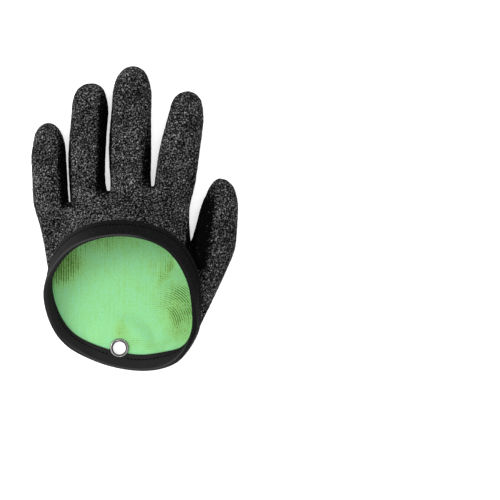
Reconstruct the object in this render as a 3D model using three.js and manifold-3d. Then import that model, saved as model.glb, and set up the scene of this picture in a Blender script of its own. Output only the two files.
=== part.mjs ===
// A fishing glove for the left hand: a knitted liner dipped in crinkled latex, with a large cut-out over the back
// of the hand. Its mouth is bound with folded tape, and a metal eyelet with its washer is set in the heel of the palm.
// It lies palm down. Millimetres: +X to the thumb, +Y to the fingertips, +Z up, out of the back of the hand, with the
// origin on the surface that it lies on, under the middle of the glove's outline.
import * as THREE from "three";
import { mergeVertices } from "three/addons/utils/BufferGeometryUtils.js";
import Module from "manifold-3d";

const wasm = await Module();
wasm.setup();

// Cloth, coat and tape
const coatThickness = 0.9;
const linerThickness = 0.9;
const layerGap = 0.3; // free space between two pieces
const bindingThickness = 1.0;
const bindingWidth = 11.4; // from the fold to the edge of each leg
const wallThickness = coatThickness + layerGap + linerThickness;

// Hand
const knuckleShift = -15.4; // the middle of the row of fingers
const thumbRootAcross = 52.5;
const thumbRootAlong = -25.4;
const thumbBaseLean = 22; // how far the base of the thumb leans in towards the mouth, in degrees
const thumbCrotchGap = 3.2;
const thumbCrotchLead = 6; // how far the crotch's middle stands out past its upper and lower edges
const sideWaist = 2; // how far the hand narrows below the little finger
const rootCentreHeight = 0.47; // of a digit's thickness, under half so that its underside lies flat
const contactDepth = 0.5; // how far the palm's underside is pressed flat
const littleSideAlong = 9.8; // the root of the little finger on its outer side

// Mouth
const mouthWidth = 103.4;
const mouthLength = 95.4;
const mouthAcross = -13.3;
const mouthAlong = -59.4;
const cuffHeight = 31; // of the edge over the back of the hand

// Eyelet
const eyeletAcross = -11.5;
const eyeletAlong = -91;
const eyeletBore = 9; // diameter of the clear hole
const barrelWall = 0.5;
const flangeWidth = 2.15; // from the bore to the flange's rim
const flangeThickness = 0.9;
const washerWidth = 2.3;
const washerThickness = 0.6;
const lipWidth = 1.1; // the barrel's end, spread over the washer
const lipThickness = 0.4;
const eyeletSides = 28;
const seatHeight = 2.2; // of the coat's outside round the eyelet, clear of the washer and the tape below
const seatRadius = 15;

// The digits. Widths, thicknesses and lengths in mm, lean in degrees towards the thumb, gap in mm to the next finger,
// and crotch: how far along the glove the gap to the next digit ends.
const digits = {
  little: { width: 24.8, thickness: 18.6, length: 55.5, lean: -2.2, gap: 0.8, crotch: 12.8 },
  ring: { width: 25.5, thickness: 20.5, length: 77.6, lean: 1.6, gap: 2.6, crotch: 21.1 },
  middle: { width: 28.7, thickness: 22.4, length: 84, lean: 1.2, gap: 2.1, crotch: 24.1 },
  index: { width: 27.9, thickness: 21.4, length: 67.7, lean: 9.5, gap: 0, crotch: 20 },
  thumb: { width: 30.8, thickness: 22.4, length: 53.8, lean: 8.1, gap: 0, crotch: thumbRootAlong },
};

// A row for each section from the root on: how far along the digit, the centre's shift, the width and the thickness,
// as shares of the digit's length, width, width and thickness. The tip follows the last row.
const digitSections = {
  little: [
    { along: 0.3, shift: -0.014, width: 0.995, thickness: 0.96 },
    { along: 0.58, shift: -0.022, width: 0.985, thickness: 0.92 },
    { along: 0.76, shift: -0.006, width: 0.875, thickness: 0.84 },
    { along: 0.92, shift: -0.007, width: 0.605, thickness: 0.58 },
  ],
  ring: [
    { along: 0.29, shift: -0.066, width: 1.015, thickness: 0.95 },
    { along: 0.61, shift: -0.036, width: 1.015, thickness: 0.9 },
    { along: 0.79, shift: -0.016, width: 0.99, thickness: 0.84 },
    { along: 0.94, shift: -0.01, width: 0.72, thickness: 0.6 },
  ],
  middle: [
    { along: 0.29, shift: -0.034, width: 1.035, thickness: 0.95 },
    { along: 0.61, shift: -0.024, width: 0.975, thickness: 0.88 },
    { along: 0.8, shift: -0.012, width: 0.925, thickness: 0.82 },
    { along: 0.94, shift: 0, width: 0.63, thickness: 0.56 },
  ],
  index: [
    { along: 0.28, shift: -0.012, width: 1.02, thickness: 0.95 },
    { along: 0.6, shift: 0, width: 0.945, thickness: 0.88 },
    { along: 0.79, shift: 0, width: 0.845, thickness: 0.8 },
    { along: 0.93, shift: -0.01, width: 0.62, thickness: 0.58 },
  ],
  thumb: [
    { along: 0.26, shift: 0.04, width: 0.97, thickness: 0.98 },
    { along: 0.58, shift: 0.05, width: 0.86, thickness: 0.9 },
    { along: 0.75, shift: 0.06, width: 0.73, thickness: 0.8 },
    { along: 0.91, shift: 0.05, width: 0.5, thickness: 0.56 },
  ],
};

// The mouth's edge, from the little finger's side over the back of the hand to the thumb and back under the heel.
// across and along are shares of half the mouth's width and length from its middle, height a share of the cuff's,
// and facing is the way the outside of the wall faces: 90 up, 0 level and away from the mouth, -90 down.
const mouthStations = [
  { across: -0.982, along: 0.165, height: 0.58, facing: -13 },
  { across: -0.895, along: 0.43, height: 0.69, facing: 12 },
  { across: -0.76, along: 0.64, height: 0.79, facing: 34 },
  { across: -0.56, along: 0.82, height: 0.885, facing: 58 },
  { across: -0.255, along: 0.94, height: 0.97, facing: 82 },
  { across: 0.095, along: 0.975, height: 1, facing: 88 },
  { across: 0.43, along: 0.91, height: 0.985, facing: 84 },
  { across: 0.69, along: 0.765, height: 0.945, facing: 71 },
  { across: 0.875, along: 0.53, height: 0.885, facing: 55 },
  { across: 1.003, along: 0.225, height: 0.81, facing: 36 },
  { across: 1.057, along: -0.145, height: 0.72, facing: 19 },
  { across: 1.047, along: -0.465, height: 0.6, facing: 8 },
  { across: 0.922, along: -0.742, height: 0.45, facing: -8 },
  { across: 0.765, along: -0.905, height: 0.265, facing: -48 },
  { across: 0.545, along: -0.985, height: 0.14, facing: -80 },
  { across: 0.31, along: -1, height: 0.09, facing: -90 },
  { across: 0.07, along: -0.97, height: 0.07, facing: -90 },
  { across: -0.175, along: -0.905, height: 0.1, facing: -82 },
  { across: -0.405, along: -0.81, height: 0.17, facing: -68 },
  { across: -0.625, along: -0.68, height: 0.24, facing: -55 },
  { across: -0.815, along: -0.47, height: 0.33, facing: -42 },
  { across: -0.94, along: -0.17, height: 0.46, facing: -27 },
];

const radians = THREE.MathUtils.degToRad;
const point = (x, y, z) => new THREE.Vector3(x, y, z);
const mix = (a, b, share) => a + (b - a) * share;

// Round a digit, from its outer side over the back to its thumb side and under: little-finger side, two points on
// the back, thumb side, two points under.
const roundAngles = [180, 120, 60, 0, -60, -120].map(radians);

// The control cage: points that the surface passes through, and four-sided faces that turn outwards.
const cage = { points: [], quads: [] };
const addPoint = (p) => cage.points.push(p) - 1;

function digitRings(name, root, sideLow, sideHigh) {
  const { width, thickness, length, lean } = digits[name];
  const axis = point(Math.sin(radians(lean)), Math.cos(radians(lean)), 0);
  const across = point(axis.y, -axis.x, 0);
  const height = rootCentreHeight * thickness;
  const rings = [
    roundAngles.map((a) =>
      addPoint(
        point(
          root.x + (width / 2) * Math.cos(a),
          mix(sideLow, sideHigh, (1 + Math.cos(a)) / 2),
          height + (thickness / 2) * Math.sin(a),
        ),
      ),
    ),
  ];
  for (const row of digitSections[name]) {
    const centre = root.clone().addScaledVector(axis, row.along * length);
    centre.addScaledVector(across, row.shift * width);
    rings.push(
      roundAngles.map((a) => {
        const p = centre.clone().addScaledVector(across, ((row.width * width) / 2) * Math.cos(a));
        p.z = height + ((row.thickness * thickness) / 2) * Math.sin(a);
        return addPoint(p);
      }),
    );
  }
  const tip = root.clone().addScaledVector(axis, length);
  tip.z = height;
  const top = addPoint(tip);
  for (let i = 0; i + 1 < rings.length; i++)
    for (let k = 0; k < 6; k++) {
      const next = (k + 1) % 6;
      cage.quads.push([rings[i + 1][k], rings[i][k], rings[i][next], rings[i + 1][next]]);
    }
  const last = rings[rings.length - 1];
  for (const k of [0, 2, 4]) cage.quads.push([last[k], last[k + 1], last[(k + 2) % 6], top]);
  return rings[0];
}

// The faces of the crotch between two neighbouring roots.
function addWeb(left, right) {
  cage.quads.push([left.back, right.back, right.side, left.side]);
  cage.quads.push([left.side, right.side, right.under, left.under]);
}

// Where the folded edge runs, and the directions along it, out of the wall and into the glove's wall.
function mouthFrames() {
  const edge = mouthStations.map((s) =>
    point(
      mouthAcross + (s.across * mouthWidth) / 2,
      mouthAlong + (s.along * mouthLength) / 2,
      s.height * cuffHeight,
    ),
  );
  const count = edge.length;
  return edge.map((p, i) => {
    const along = edge[(i + 1) % count].clone().sub(edge[(i + count - 1) % count]).normalize();
    const facing = radians(mouthStations[i].facing);
    const away = point(-along.y, along.x, 0).normalize();
    const above = along.clone().cross(away);
    const out = away.multiplyScalar(Math.cos(facing)).addScaledVector(above, Math.sin(facing));
    return { edge: p, out, into: out.clone().cross(along).normalize() };
  });
}

// A point at a share of the way from one point and direction to another.
function curvePoint(from, fromWay, to, toWay, share) {
  const reach = 0.9 * from.distanceTo(to);
  const endReach = Math.min(reach, 1.1 * bindingWidth);
  const s2 = share * share;
  const s3 = s2 * share;
  return from
    .clone()
    .multiplyScalar(2 * s3 - 3 * s2 + 1)
    .addScaledVector(fromWay, reach * (s3 - 2 * s2 + share))
    .addScaledVector(to, 3 * s2 - 2 * s3)
    .addScaledVector(toWay, endReach * (s3 - s2));
}

function buildCage() {
  const fingers = ["little", "ring", "middle", "index"];
  const span = fingers.reduce((sum, n) => sum + digits[n].width + digits[n].gap, 0);
  let edge = knuckleShift - span / 2;
  let low = littleSideAlong;
  const roots = {};
  for (const name of fingers) {
    const { width, gap, crotch } = digits[name];
    roots[name] = digitRings(name, point(edge + width / 2, (low + crotch) / 2, 0), low, crotch);
    edge += width + gap;
    low = crotch;
  }
  const thumbRoot = point(thumbRootAcross, thumbRootAlong, 0);
  const thumb = digitRings("thumb", thumbRoot, thumbRootAlong + 1, thumbRootAlong - 1);
  cage.points[thumb[0]].y += thumbCrotchLead;
  for (let i = 0; i < 3; i++) {
    const a = roots[fingers[i]];
    const b = roots[fingers[i + 1]];
    addWeb({ back: a[2], side: a[3], under: a[4] }, { back: b[1], side: b[0], under: b[5] });
  }

  // Columns run from the knuckles to the mouth: one at the little finger's side, two on each finger's back, the
  // thumb's, and two under each finger. A column's share says how far down it the thumb's crotch lies.
  const frames = mouthFrames();
  const handDown = point(0, -1, 0);
  const sideDown = point(Math.sin(radians(12)), -Math.cos(radians(12)), 0);
  const thumbDown = point(-Math.sin(radians(thumbBaseLean)), -Math.cos(radians(thumbBaseLean)), 0);
  const backShares = [0.42, 0.42, 0.42, 0.42, 0.42, 0.46, 0.56, 0.78];
  const back = fingers.flatMap((n) => [roots[n][1], roots[n][2]]);
  const under = fingers.flatMap((n) => [roots[n][5], roots[n][4]]).reverse();
  const columns = [
    { top: roots.little[0], share: 0.45 },
    ...back.map((top, i) => ({ top, share: backShares[i] })),
    ...[1, 2, 3, 4, 5].map((k) => ({ root: thumb[k] })),
    ...under.map((top) => ({ top, share: 0.4, pressed: true })),
  ];
  columns.forEach((column, j) => {
    const { edge: fold, into } = frames[j];
    const bandEdge = fold.clone().addScaledVector(into, bindingWidth);
    const rim = fold.clone().addScaledVector(into, layerGap + bindingThickness);
    const from = cage.points[column.top ?? column.root];
    const down = j === 0 ? sideDown : column.root === undefined ? handDown : thumbDown;
    const at = (share) => {
      const p = curvePoint(from, down, bandEdge, into.clone().negate(), share);
      if (j === 0) p.x += sideWaist * Math.sin(Math.PI * share);
      if (column.pressed) p.z = Math.min(p.z, mix(p.z, -contactDepth, Math.sin(Math.PI * share)));
      return addPoint(p);
    };
    if (column.top !== undefined) {
      const s = column.share;
      const rest = (1 - s) / 3;
      column.rows = [column.top, at(s / 2), at(s), at(s + rest), at(s + 2 * rest)];
    } else column.rows = [null, null, column.root, at(1 / 3), at(2 / 3)];
    column.rows.push(addPoint(bandEdge), addPoint(rim));
  });

  // Above the thumb's crotch the palm is a ring of its own, closed at the index finger's side.
  const crotch = cage.points[thumb[0]].clone().setX(cage.points[thumb[0]].x - thumbCrotchGap);
  const sideTop = cage.points[roots.index[3]];
  const hollow = sideTop.clone().lerp(crotch, 0.5);
  hollow.x -= thumbCrotchGap / 2;
  const side = [roots.index[3], addPoint(hollow), addPoint(crotch)];
  const upper = [...columns.slice(0, 9), { rows: side }, ...columns.slice(14)];
  const addRows = (ring, firstRow, lastRow) => {
    for (let r = firstRow; r < lastRow; r++)
      ring.forEach((a, j) => {
        const b = ring[(j + 1) % ring.length];
        cage.quads.push([a.rows[r], a.rows[r + 1], b.rows[r + 1], b.rows[r]]);
      });
  };
  addRows(upper, 0, 2);
  addRows(columns, 2, 6);
  addWeb(
    { back: columns[8].rows[2], side: side[2], under: columns[14].rows[2] },
    { back: thumb[1], side: thumb[0], under: thumb[5] },
  );
  return columns;
}

// Neighbours of each point: its faces, the points across its edges and across its faces, and its border edges.
function neighbours({ points, quads }) {
  const near = points.map(() => ({ faces: [], edges: new Map(), diagonals: [] }));
  quads.forEach((quad, f) =>
    quad.forEach((v, k) => {
      const n = near[v];
      n.faces.push(f);
      n.diagonals.push(quad[(k + 2) % 4]);
      for (const w of [quad[(k + 1) % 4], quad[(k + 3) % 4]])
        n.edges.set(w, (n.edges.get(w) ?? 0) + 1);
    }),
  );
  for (const n of near) n.border = [...n.edges].filter(([, uses]) => uses === 1).map(([w]) => w);
  return near;
}

const weighted = (terms) =>
  terms.reduce((sum, [p, weight]) => sum.addScaledVector(p, weight), point(0, 0, 0));

// Where each point of a mesh ends on its smooth Catmull-Clark surface.
function limitPoints(mesh) {
  return neighbours(mesh).map((n, v) => {
    const p = mesh.points[v];
    if (n.border.length) {
      const [a, b] = n.border.map((w) => mesh.points[w]);
      return weighted([[p, 4 / 6], [a, 1 / 6], [b, 1 / 6]]);
    }
    const k = n.faces.length;
    const total = k * (k + 5);
    return weighted([
      [p, (k * k) / total],
      ...[...n.edges.keys()].map((w) => [mesh.points[w], 4 / total]),
      ...n.diagonals.map((w) => [mesh.points[w], 1 / total]),
    ]);
  });
}

// Moves the cage outwards until its smooth surface passes through the points that it was given.
function fitCage(mesh, rounds) {
  const wanted = mesh.points.map((p) => p.clone());
  for (let i = 0; i < rounds; i++) {
    const reached = limitPoints(mesh);
    mesh.points.forEach((p, v) => p.add(wanted[v]).sub(reached[v]));
  }
}

// One Catmull-Clark step. The old points keep their numbers, and edgePoint and facePoint give the new ones.
function subdivide(mesh) {
  const near = neighbours(mesh);
  const centres = mesh.quads.map((q) => weighted(q.map((v) => [mesh.points[v], 1 / 4])));
  const points = mesh.points.map((p, v) => {
    const n = near[v];
    if (n.border.length) {
      const [a, b] = n.border.map((w) => mesh.points[w]);
      return weighted([[p, 6 / 8], [a, 1 / 8], [b, 1 / 8]]);
    }
    const k = n.faces.length;
    return weighted([
      [p, (k - 2) / k],
      ...[...n.edges.keys()].map((w) => [mesh.points[w], 1 / (k * k)]),
      ...n.faces.map((f) => [centres[f], 1 / (k * k)]),
    ]);
  });
  const edges = new Map();
  const key = (a, b) => (a < b ? `${a} ${b}` : `${b} ${a}`);
  mesh.quads.forEach((quad, f) =>
    quad.forEach((a, k) => {
      const b = quad[(k + 1) % 4];
      if (!edges.has(key(a, b))) edges.set(key(a, b), { ends: [a, b], faces: [] });
      edges.get(key(a, b)).faces.push(f);
    }),
  );
  for (const edge of edges.values()) {
    const share = edge.faces.length === 2 ? 1 / 4 : 1 / 2;
    const terms = edge.ends.map((v) => [mesh.points[v], share]);
    if (edge.faces.length === 2) terms.push(...edge.faces.map((f) => [centres[f], share]));
    edge.index = points.push(weighted(terms)) - 1;
  }
  const firstCentre = points.length;
  points.push(...centres);
  const edgePoint = (a, b) => edges.get(key(a, b)).index;
  const facePoint = (f) => firstCentre + f;
  const quads = mesh.quads.flatMap((quad, f) =>
    quad.map((v, k) => [
      v,
      edgePoint(v, quad[(k + 1) % 4]),
      facePoint(f),
      edgePoint(quad[(k + 3) % 4], v),
    ]),
  );
  return { points, quads, edgePoint, facePoint };
}

// Directions out of the surface at each point, longer where faces meet at an angle, so that a wall offset along
// them keeps its thickness.
function outwards(mesh) {
  const normals = mesh.points.map(() => point(0, 0, 0));
  const faces = mesh.quads.map(([a, b, c, d]) => {
    const first = mesh.points[c].clone().sub(mesh.points[a]);
    return first.cross(mesh.points[d].clone().sub(mesh.points[b])).normalize();
  });
  mesh.quads.forEach((quad, f) => quad.forEach((v) => normals[v].add(faces[f])));
  const lean = mesh.points.map(() => []);
  normals.forEach((n) => n.normalize());
  mesh.quads.forEach((quad, f) => quad.forEach((v) => lean[v].push(normals[v].dot(faces[f]))));
  const mostStretch = 1.2;
  return normals.map((n, v) => {
    const mean = lean[v].reduce((sum, x) => sum + x, 0) / lean[v].length;
    return n.multiplyScalar(Math.min(mostStretch, 1 / mean));
  });
}

// Corners and faces to a geometry that three.js and manifold-3d both take.
function closedGeometry(points, triangles) {
  const geometry = new THREE.BufferGeometry();
  geometry.setAttribute("position", new THREE.Float32BufferAttribute(points.flatMap((p) => [p.x, p.y, p.z]), 3));
  geometry.setIndex(triangles.flat());
  return geometry;
}

const solidOf = (geometry) => {
  const bare = geometry.clone();
  for (const name of ["normal", "uv"]) bare.deleteAttribute(name);
  const merged = mergeVertices(bare, 1e-4);
  return new wasm.Manifold(
    new wasm.Mesh({
      numProp: 3,
      vertProperties: merged.attributes.position.array,
      triVerts: new Uint32Array(merged.index.array),
    }),
  );
};

const geometryOf = (solid) => {
  const { vertProperties, triVerts } = solid.getMesh();
  const geometry = new THREE.BufferGeometry();
  geometry.setAttribute("position", new THREE.BufferAttribute(vertProperties, 3));
  geometry.setIndex(new THREE.BufferAttribute(triVerts, 1));
  const flat = geometry.toNonIndexed();
  flat.computeVertexNormals();
  return flat;
};

// A wall of cloth or latex: the skin moved in by two depths, and a strip that closes it at the mouth.
function wallGeometry(skin, ways, rim, outerDepth, innerDepth) {
  const count = skin.points.length;
  const moved = (depth) => skin.points.map((p, v) => p.clone().addScaledVector(ways[v], -depth));
  const points = [...moved(outerDepth), ...moved(innerDepth)];
  const triangles = [];
  for (const [a, b, c, d] of skin.quads) {
    triangles.push([a, b, c], [a, c, d]);
    triangles.push([a + count, c + count, b + count], [a + count, d + count, c + count]);
  }
  rim.forEach((a, i) => {
    const b = rim[(i + 1) % rim.length];
    triangles.push([b, a, a + count], [b, a + count, b + count]);
  });
  return closedGeometry(points, triangles);
}

// The folded tape round the mouth: one U-shaped section at each station, over both faces of the wall.
function bindingGeometry(skin, ways, band) {
  const sections = band.map(({ edge, middle, rim }) => {
    const outside = layerGap + bindingThickness;
    const inside = -wallThickness - outside;
    const beyond = skin.points[rim].clone().sub(skin.points[middle]).normalize();
    const at = (v, height, past = 0) =>
      skin.points[v].clone().addScaledVector(ways[v], height).addScaledVector(beyond, past);
    const roundOff = 0.3; // how far the fold's corners are cut, as a share of its height
    return [
      at(edge, outside),
      at(middle, outside),
      at(rim, outside),
      at(rim, mix(outside, inside, roundOff / 2), outside * (1 - roundOff)),
      at(rim, mix(outside, inside, 0.5), outside),
      at(rim, mix(outside, inside, 1 - roundOff / 2), outside * (1 - roundOff)),
      at(rim, inside),
      at(middle, inside),
      at(edge, inside),
      at(edge, inside + bindingThickness),
      at(middle, inside + bindingThickness),
      at(rim, inside + bindingThickness, layerGap),
      at(rim, layerGap, layerGap),
      at(middle, layerGap),
      at(edge, layerGap),
    ];
  });
  const size = sections[0].length;
  const middles = [1, 7, 10, 13];
  const triangles = [];
  sections.forEach((_, i) => {
    const next = (i + 1) % sections.length;
    for (let k = 0; k < size; k++) {
      const up = (k + 1) % size;
      const [a, b, c, d] = [i * size + k, i * size + up, next * size + up, next * size + k];
      // Split each face on the same diagonal as the wall's, so that the free space between them is even.
      if ((i % 2 === 0) === middles.includes(up)) triangles.push([a, b, c], [a, c, d]);
      else triangles.push([a, b, d], [b, c, d]);
    }
  });
  return closedGeometry(sections.flat(), triangles);
}

// A ring turned about Z from a closed outline of [radius, height] pairs that runs anticlockwise.
function turnedRing(outline) {
  const profile = [...outline, outline[0]].map(([r, z]) => new THREE.Vector2(r, z));
  return new THREE.LatheGeometry(profile, eyeletSides).rotateX(Math.PI / 2);
}

const columns = buildCage();
fitCage(cage, 12);
const fine = subdivide(cage);

// The tape's stations on the finer mesh: each column and each face between two columns.
const faceOf = new Map(cage.quads.map((quad, f) => [quad.slice().sort((a, b) => a - b).join(" "), f]));
const band = columns.flatMap((column, j) => {
  const next = columns[(j + 1) % columns.length];
  const [, , , , , edge, rim] = column.rows;
  const [, , , , , nextEdge, nextRim] = next.rows;
  const face = faceOf.get([edge, rim, nextEdge, nextRim].sort((a, b) => a - b).join(" "));
  return [
    { edge, middle: fine.edgePoint(edge, rim), rim },
    { edge: fine.edgePoint(edge, nextEdge), middle: fine.facePoint(face), rim: fine.edgePoint(rim, nextRim) },
  ];
});
const skin = { points: limitPoints(fine), quads: fine.quads };
for (const p of skin.points) {
  p.z = Math.max(p.z, 0);
  // The heel of the palm is level round the eyelet.
  const reach = Math.hypot(p.x - eyeletAcross, p.y - eyeletAlong);
  if (p.z < cuffHeight / 4) p.z = mix(seatHeight, p.z, THREE.MathUtils.smoothstep(reach, seatRadius, 1.8 * seatRadius));
}
// The tape's outer leg lies under the coat, so the coat stays that much above the surface there.
const tapeRise = layerGap + bindingThickness;
for (const v of band.flatMap(Object.values)) skin.points[v].z = Math.max(skin.points[v].z, tapeRise);
const ways = outwards(skin);
const rim = band.map((station) => station.rim);

const coatWall = solidOf(wallGeometry(skin, ways, rim, 0, coatThickness));
const linerWall = solidOf(wallGeometry(skin, ways, rim, coatThickness + layerGap, wallThickness));
const tape = solidOf(bindingGeometry(skin, ways, band));

// The eyelet goes through the wall, with its flange inside the glove and its end spread over the washer.
const bore = eyeletBore / 2;
const barrel = bore + barrelWall;
const flangeLow = seatHeight + wallThickness + layerGap;
const washerHigh = seatHeight - layerGap;
const washerLow = washerHigh - washerThickness;
const lipHigh = washerLow - layerGap;
const lipLow = lipHigh - lipThickness;
const flangeHigh = flangeLow + flangeThickness;
const flangeRim = bore + flangeWidth;
const eyelet = solidOf(
  turnedRing([
    [bore, lipLow],
    [barrel + lipWidth, lipLow],
    [barrel + lipWidth, lipHigh],
    [barrel, lipHigh],
    [barrel, flangeLow],
    [flangeRim, flangeLow],
    [flangeRim, mix(flangeLow, flangeHigh, 0.45)],
    [mix(barrel, flangeRim, 0.72), flangeHigh],
    [mix(barrel, flangeRim, 0.2), flangeHigh],
    [bore, mix(flangeLow, flangeHigh, 0.5)],
  ]),
).translate([eyeletAcross, eyeletAlong, 0]);
const washerBore = barrel + layerGap;
const washer = solidOf(
  turnedRing([
    [washerBore, washerLow],
    [bore + washerWidth, washerLow],
    [bore + washerWidth, washerHigh],
    [washerBore, washerHigh],
  ]),
).translate([eyeletAcross, eyeletAlong, 0]);
const upright = (radius, low, high) =>
  solidOf(new THREE.CylinderGeometry(radius, radius, high - low, eyeletSides).rotateX(Math.PI / 2))
    .translate([eyeletAcross, eyeletAlong, (low + high) / 2]);
const barrelHole = upright(washerBore, -1, flangeHigh + 1);
const flangeRoom = upright(flangeRim + layerGap, flangeLow - layerGap, flangeHigh + 2);
const washerRoom = upright(bore + washerWidth + layerGap, -1, washerHigh + layerGap / 2);

const finish = {
  latex: new THREE.MeshStandardMaterial({ color: 0x2b2b2b, roughness: 0.85, metalness: 0 }),
  knit: new THREE.MeshStandardMaterial({ color: 0x8cdc8f, roughness: 0.95, metalness: 0 }),
  tape: new THREE.MeshStandardMaterial({ color: 0x1c1c1c, roughness: 0.9, metalness: 0 }),
  metal: new THREE.MeshStandardMaterial({ color: 0xb9bcc0, roughness: 0.25, metalness: 1 }),
  backing: new THREE.MeshStandardMaterial({ color: 0xa8abb0, roughness: 0.35, metalness: 1 }),
};

const glove = new THREE.Group();
const addPiece = (name, solid, material) => {
  const mesh = new THREE.Mesh(geometryOf(solid), material);
  mesh.name = name;
  glove.add(mesh);
};
addPiece("latex_coat", coatWall.subtract(barrelHole), finish.latex);
addPiece("knit_liner", linerWall.subtract(barrelHole), finish.knit);
addPiece("mouth_binding", tape.subtract(flangeRoom).subtract(washerRoom), finish.tape);
addPiece("eyelet", eyelet, finish.metal);
addPiece("eyelet_washer", washer, finish.backing);

const outline = new THREE.Box3().setFromObject(glove, true);
const middle = outline.getCenter(point(0, 0, 0));
glove.position.set(-middle.x, -middle.y, -outline.min.z);

export default glove;
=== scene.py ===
from math import cos, pi, radians, sin

import bpy
import numpy as np
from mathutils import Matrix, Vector, noise


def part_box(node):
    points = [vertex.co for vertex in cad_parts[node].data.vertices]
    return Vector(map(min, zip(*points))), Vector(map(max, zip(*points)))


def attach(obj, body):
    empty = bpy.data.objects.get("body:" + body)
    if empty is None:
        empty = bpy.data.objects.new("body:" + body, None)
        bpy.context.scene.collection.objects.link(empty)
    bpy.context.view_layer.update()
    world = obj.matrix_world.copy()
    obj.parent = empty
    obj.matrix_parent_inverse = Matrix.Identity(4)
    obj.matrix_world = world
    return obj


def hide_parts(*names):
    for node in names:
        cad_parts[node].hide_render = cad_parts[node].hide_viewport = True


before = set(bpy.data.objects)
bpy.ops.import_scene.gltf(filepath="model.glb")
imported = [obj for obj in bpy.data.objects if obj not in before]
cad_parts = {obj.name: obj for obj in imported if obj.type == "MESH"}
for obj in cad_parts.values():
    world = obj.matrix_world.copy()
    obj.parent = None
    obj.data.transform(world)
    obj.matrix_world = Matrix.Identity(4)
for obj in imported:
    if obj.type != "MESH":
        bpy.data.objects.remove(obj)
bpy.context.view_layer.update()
print("frame loaded:", sorted(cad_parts))

mm = 0.001

# The glove's cloth, in mm, as the CAD has it.
cloth = {
    "coat": 0.9,  # latex
    "liner": 0.9,  # knit
    "gap": 0.3,  # between the two
    "tape": 1.0,
    "tapeWidth": 11.4,  # from the fold to the edge of each leg
    "fineness": 4,  # how often the cage is halved for the skins that show
    "hiddenFineness": 3,  # and for those that face each other inside the wall
    "fitSteps": 12,  # how often the cage is corrected so that the skin passes through its points
    "bandRow": 5,  # the cage's row at the edge of the tape
    "rimRow": 6,  # and at the mouth's edge
    "tapeRise": (4.3, 5),  # rows over which the wall lifts off the table to leave room for the tape
    "placeScale": (11.2, 12),  # mm for a column and a row, in the UVs
    "webPlace": 0.2,  # columns across a web between two fingers, in the UVs
    "bandReach": 1.1,  # how far the hand runs straight on from the tape, as a share of its width
}
cloth["wall"] = cloth["coat"] + cloth["gap"] + cloth["liner"]

hand = {
    "knuckleShift": -15.4,
    "thumbRoot": (52.5, -25.4),
    "thumbBaseLean": 22,
    "thumbCrotchGap": 3.2,
    "thumbCrotchLead": 6,
    "sideWaist": 2,
    "rootCentreHeight": 0.47,
    "contactDepth": 0.5,
    "littleSideAlong": 9.8,
    "sideLean": 12,  # degrees
    "curveReach": 0.9,
    # How far down each column the thumb's crotch lies: the little finger's side, the back's eight and the palm's.
    "sideShare": 0.45,
    "backShares": (0.42, 0.42, 0.42, 0.42, 0.42, 0.46, 0.56, 0.78),
    "palmShare": 0.4,
}

mouth = {"width": 103.4, "length": 95.4, "across": -13.3, "along": -59.4, "cuffHeight": 31}

eyelet = {
    "across": -11.5,
    "along": -91,
    "bore": 4.5,  # radius of the clear hole
    "barrelWall": 0.5,
    "flangeWidth": 2.15,
    "flangeHeight": 1.15,
    "crest": 0.6,  # where the flange is highest, as a share of its width from the bore
    "edge": 0.14,
    "washerWidth": 2.3,
    "washerThickness": 0.6,
    "seatHeight": 2.2,
    "seatRadius": 15,
    "seatFade": 1.8,  # radii over which the level seat ends
    "sides": 96,
    "roll": (0.8, 0.42, 0.3),  # the spread end: its width, its height and how far it lies under the washer
    "lip": (0.75, 0.35, 0.2, 0.5),  # its outer lip: from the barrel, width, height and drop
    "washerRound": (0.15, 0.1),  # its rounded edges, outside and in the hole
    # Round holes in the other pieces: mm past the bore, the flange or the washer, and from and to which height.
    "wallCut": (0.8, -2, 12),
    "flangeCut": (0.04, 4.2, 12),
    "washerCut": (0.15, -2, 2.05),
}

# Width, thickness and length in mm, lean in degrees, the gap to the next finger and where its crotch is.
digits = {
    "little": (24.8, 18.6, 55.5, -2.2, 0.8, 12.8),
    "ring": (25.5, 20.5, 77.6, 1.6, 2.6, 21.1),
    "middle": (28.7, 22.4, 84, 1.2, 2.1, 24.1),
    "index": (27.9, 21.4, 67.7, 9.5, 0, 20),
    "thumb": (30.8, 22.4, 53.8, 8.1, 0, -25.4),
}

# A row for each section: along, shift, width and thickness as shares of the digit's own.
digitSections = {
    "little": [(0.3, -0.014, 0.995, 0.96), (0.58, -0.022, 0.985, 0.92), (0.76, -0.006, 0.875, 0.84),
               (0.92, -0.007, 0.605, 0.58)],
    "ring": [(0.29, -0.066, 1.015, 0.95), (0.61, -0.036, 1.015, 0.9), (0.79, -0.016, 0.99, 0.84),
             (0.94, -0.01, 0.72, 0.6)],
    "middle": [(0.29, -0.034, 1.035, 0.95), (0.61, -0.024, 0.975, 0.88), (0.8, -0.012, 0.925, 0.82),
               (0.94, 0, 0.63, 0.56)],
    "index": [(0.28, -0.012, 1.02, 0.95), (0.6, 0, 0.945, 0.88), (0.79, 0, 0.845, 0.8),
              (0.93, -0.01, 0.62, 0.58)],
    "thumb": [(0.26, 0.04, 0.97, 0.98), (0.58, 0.05, 0.86, 0.9), (0.75, 0.06, 0.73, 0.8),
              (0.91, 0.05, 0.5, 0.56)],
}

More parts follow.
